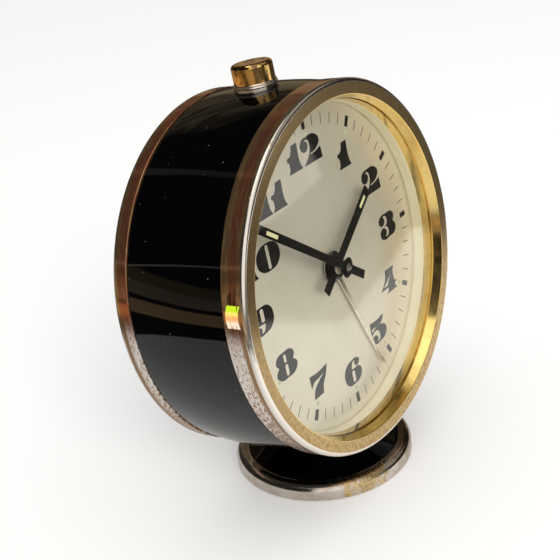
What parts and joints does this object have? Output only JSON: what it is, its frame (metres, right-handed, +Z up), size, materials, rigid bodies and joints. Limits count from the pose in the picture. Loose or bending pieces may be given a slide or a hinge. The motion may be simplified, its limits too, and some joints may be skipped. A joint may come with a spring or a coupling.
{
  "type": "wind-up alarm clock",
  "caption": "Round drum wind-up alarm clock on a disc foot, with domed glass, stop button on top, wing keys and setting knobs behind, and a two-train lever movement inside.",
  "frame": {"origin": "middle of the foot's underside, on the table", "axes": "+Z up, the dial faces -Y, +X to the right as the dial is read"},
  "size_m": [0.1012, 0.0602, 0.1174],
  "materials": {
    "black_lacquer": "mirror gloss black lacquer, a few dust specks",
    "worn_gilt": "polished gilt plating, worn towards nickel, pitted low down",
    "worn_nickel": "polished nickel plating with a warm tarnish",
    "steel": "plain machined steel",
    "blued_steel": "blued spring steel",
    "movement_brass": "satin stamped brass",
    "hand_black": "satin black paint with cream luminous fill",
    "alarm_hand_metal": "polished pale brass",
    "dial_silver": "satin champagne silver, printed black",
    "cream_ring": "smooth aged cream",
    "glass": "clear domed glass",
    "felt": "dense green felt"
  },
  "bodies": {
    "case": {"case_band": "black_lacquer", "front_bezel": "worn_gilt", "rear_rim": "worn_gilt", "rear_cover": "worn_nickel", "cover_screws": "steel", "crystal": "glass", "crystal_ring": "worn_gilt", "dial_spacer_ring": "cream_ring", "dial_plate": "dial_silver", "foot_disc": "black_lacquer", "foot_rim": "worn_nickel", "foot_pad": "felt", "foot_neck": "black_lacquer", "foot_bolt": "steel", "foot_nut": "steel", "button_collar": "worn_nickel", "button_spring": "steel", "button_bracket": "steel", "front_plate": "movement_brass", "back_plate": "movement_brass", "plate_pillars": "movement_brass", "pillar_nuts": "steel", "movement_ring": "steel", "time_mainspring": "blued_steel", "alarm_mainspring": "blued_steel", "hairspring": "blued_steel", "bell": "worn_nickel", "bell_posts": "movement_brass", "bell_screws": "steel"},
    "stop_button": {"button_cap": "worn_gilt"},
    "stop_lever": {"stop_lever": "steel"},
    "hand_setting": {"hand_arbor": "steel", "cannon_pinion": "movement_brass", "minute_hand": "hand_black", "hand_set_knob": "worn_gilt"},
    "minute_wheel": {"minute_wheel": "movement_brass"},
    "hour_hand": {"hour_wheel": "movement_brass", "hour_hand": "hand_black"},
    "alarm_setting": {"alarm_set_arbor": "steel", "alarm_set_knob": "worn_gilt"},
    "alarm_hand": {"alarm_wheel": "movement_brass", "alarm_hand": "alarm_hand_metal"},
    "time_great_wheel": {"time_great_wheel": "movement_brass"},
    "time_winding": {"time_winding_arbor": "steel", "time_key": "worn_gilt"},
    "time_click": {"time_click": "blued_steel"},
    "centre_wheel": {"centre_wheel": "movement_brass"},
    "third_wheel": {"third_wheel": "movement_brass"},
    "fourth_wheel": {"fourth_wheel": "movement_brass"},
    "escape_wheel": {"escape_wheel": "movement_brass"},
    "pallet_lever": {"pallet_lever": "steel"},
    "balance": {"balance_wheel": "movement_brass"},
    "regulator": {"regulator": "movement_brass"},
    "alarm_great_wheel": {"alarm_great_wheel": "movement_brass"},
    "alarm_winding": {"alarm_winding_arbor": "steel", "alarm_key": "worn_gilt"},
    "alarm_click": {"alarm_click": "blued_steel"},
    "alarm_second_wheel": {"alarm_second_wheel": "movement_brass"},
    "alarm_escape_wheel": {"alarm_escape_wheel": "movement_brass"},
    "hammer": {"hammer": "steel"}
  },
  "joints": [
    {"name": "press_stop_button", "type": "slide", "parent": "case", "child": "stop_button", "axis": [0, -0.1097, -0.994], "range_m": [0, 0.0024], "deforming": ["button_spring"]},
    {"name": "rock_stop_lever", "type": "hinge", "parent": "case", "child": "stop_lever", "pos_m": [0.04372, 0.00353, 0.06767], "axis": [0, -0.994, 0.1097], "range_deg": [0, 3.3]},
    {"name": "set_hands", "type": "hinge", "parent": "case", "child": "hand_setting", "pos_m": [0, 0.00517, 0.05973], "axis": [0, 0.994, -0.1097], "continuous": true},
    {"name": "turn_minute_wheel", "type": "hinge", "parent": "case", "child": "minute_wheel", "pos_m": [0, -0.00582, 0.05128], "axis": [0, 0.994, -0.1097], "continuous": true},
    {"name": "turn_hour_hand", "type": "hinge", "parent": "case", "child": "hour_hand", "pos_m": [0, -0.00875, 0.06127], "axis": [0, 0.994, -0.1097], "continuous": true},
    {"name": "set_alarm", "type": "hinge", "parent": "case", "child": "alarm_setting", "pos_m": [-0.01466, 0.00575, 0.06503], "axis": [0, 0.994, -0.1097], "continuous": true},
    {"name": "turn_alarm_hand", "type": "hinge", "parent": "case", "child": "alarm_hand", "pos_m": [0, -0.00875, 0.06127], "axis": [0, 0.994, -0.1097], "continuous": true},
    {"name": "run_great_wheel", "type": "hinge", "parent": "case", "child": "time_great_wheel", "pos_m": [0.01527, 0.00349, 0.04455], "axis": [0, 0.994, -0.1097], "continuous": true},
    {"name": "wind_time", "type": "hinge", "parent": "time_great_wheel", "child": "time_winding", "pos_m": [0.01527, 0.00349, 0.04455], "axis": [0, 0.994, -0.1097], "range_deg": [0, 1710], "deforming": ["time_mainspring"]},
    {"name": "lift_time_click", "type": "hinge", "parent": "time_great_wheel", "child": "time_click", "pos_m": [0.01408, -0.00043, 0.05182], "axis": [0, -0.994, 0.1097], "range_deg": [0, 8]},
    {"name": "run_centre_wheel", "type": "hinge", "parent": "case", "child": "centre_wheel", "pos_m": [0, 0.00517, 0.05973], "axis": [0, 0.994, -0.1097], "continuous": true},
    {"name": "run_third_wheel", "type": "hinge", "parent": "case", "child": "third_wheel", "pos_m": [0.00788, 0.00666, 0.07329], "axis": [0, 0.994, -0.1097], "continuous": true},
    {"name": "run_fourth_wheel", "type": "hinge", "parent": "case", "child": "fourth_wheel", "pos_m": [-0.00376, 0.0074, 0.07997], "axis": [0, 0.994, -0.1097], "continuous": true},
    {"name": "run_escape_wheel", "type": "hinge", "parent": "case", "child": "escape_wheel", "pos_m": [-0.01542, 0.00694, 0.07575], "axis": [0, 0.994, -0.1097], "continuous": true},
    {"name": "rock_pallet_lever", "type": "hinge", "parent": "case", "child": "pallet_lever", "pos_m": [-0.02002, 0.00781, 0.08367], "axis": [0, 0.994, -0.1097], "range_deg": [-4, 4]},
    {"name": "swing_balance", "type": "hinge", "parent": "case", "child": "balance", "pos_m": [-0.02744, 0.007, 0.07629], "axis": [0, 0.994, -0.1097], "range_deg": [-150, 150], "deforming": ["hairspring"]},
    {"name": "move_regulator", "type": "hinge", "parent": "case", "child": "regulator", "pos_m": [-0.02744, 0.01564, 0.07534], "axis": [0, 0.994, -0.1097], "range_deg": [-15, 15]},
    {"name": "run_alarm_great_wheel", "type": "hinge", "parent": "case", "child": "alarm_great_wheel", "pos_m": [-0.0205, 0.00385, 0.0478], "axis": [0, 0.994, -0.1097], "continuous": true},
    {"name": "wind_alarm", "type": "hinge", "parent": "alarm_great_wheel", "child": "alarm_winding", "pos_m": [-0.0205, 0.00385, 0.0478], "axis": [0, 0.994, -0.1097], "range_deg": [0, 1350], "deforming": ["alarm_mainspring"]},
    {"name": "lift_alarm_click", "type": "hinge", "parent": "alarm_great_wheel", "child": "alarm_click", "pos_m": [-0.01705, -0.00016, 0.05426], "axis": [0, -0.994, 0.1097], "range_deg": [0, 8]},
    {"name": "run_alarm_second_wheel", "type": "hinge", "parent": "case", "child": "alarm_second_wheel", "pos_m": [-0.0115, 0.00214, 0.03231], "axis": [0, 0.994, -0.1097], "continuous": true},
    {"name": "run_alarm_escape_wheel", "type": "hinge", "parent": "case", "child": "alarm_escape_wheel", "pos_m": [-0.0025, 0.00214, 0.03231], "axis": [0, 0.994, -0.1097], "continuous": true},
    {"name": "swing_hammer", "type": "hinge", "parent": "case", "child": "hammer", "pos_m": [0.0012, 0.00144, 0.02594], "axis": [0, -0.994, 0.1097], "range_deg": [-8, 1]}
  ],
  "couplings": [
    {"joint": "rock_stop_lever", "follows": "press_stop_button", "rad_per_m": 22.917},
    {"joint": "turn_minute_wheel", "follows": "set_hands", "ratio": -0.33333},
    {"joint": "turn_hour_hand", "follows": "set_hands", "ratio": 0.083333},
    {"joint": "turn_alarm_hand", "follows": "set_alarm", "ratio": -0.3},
    {"joint": "run_escape_wheel", "follows": "run_fourth_wheel", "ratio": -6.75},
    {"joint": "run_third_wheel", "follows": "run_fourth_wheel", "ratio": -0.14286},
    {"joint": "run_centre_wheel", "follows": "run_fourth_wheel", "ratio": 0.02381},
    {"joint": "run_great_wheel", "follows": "run_fourth_wheel", "ratio": -0.0047619},
    {"joint": "run_alarm_great_wheel", "follows": "run_alarm_second_wheel", "ratio": -0.2},
    {"joint": "run_alarm_escape_wheel", "follows": "run_alarm_second_wheel", "ratio": -3}
  ]
}
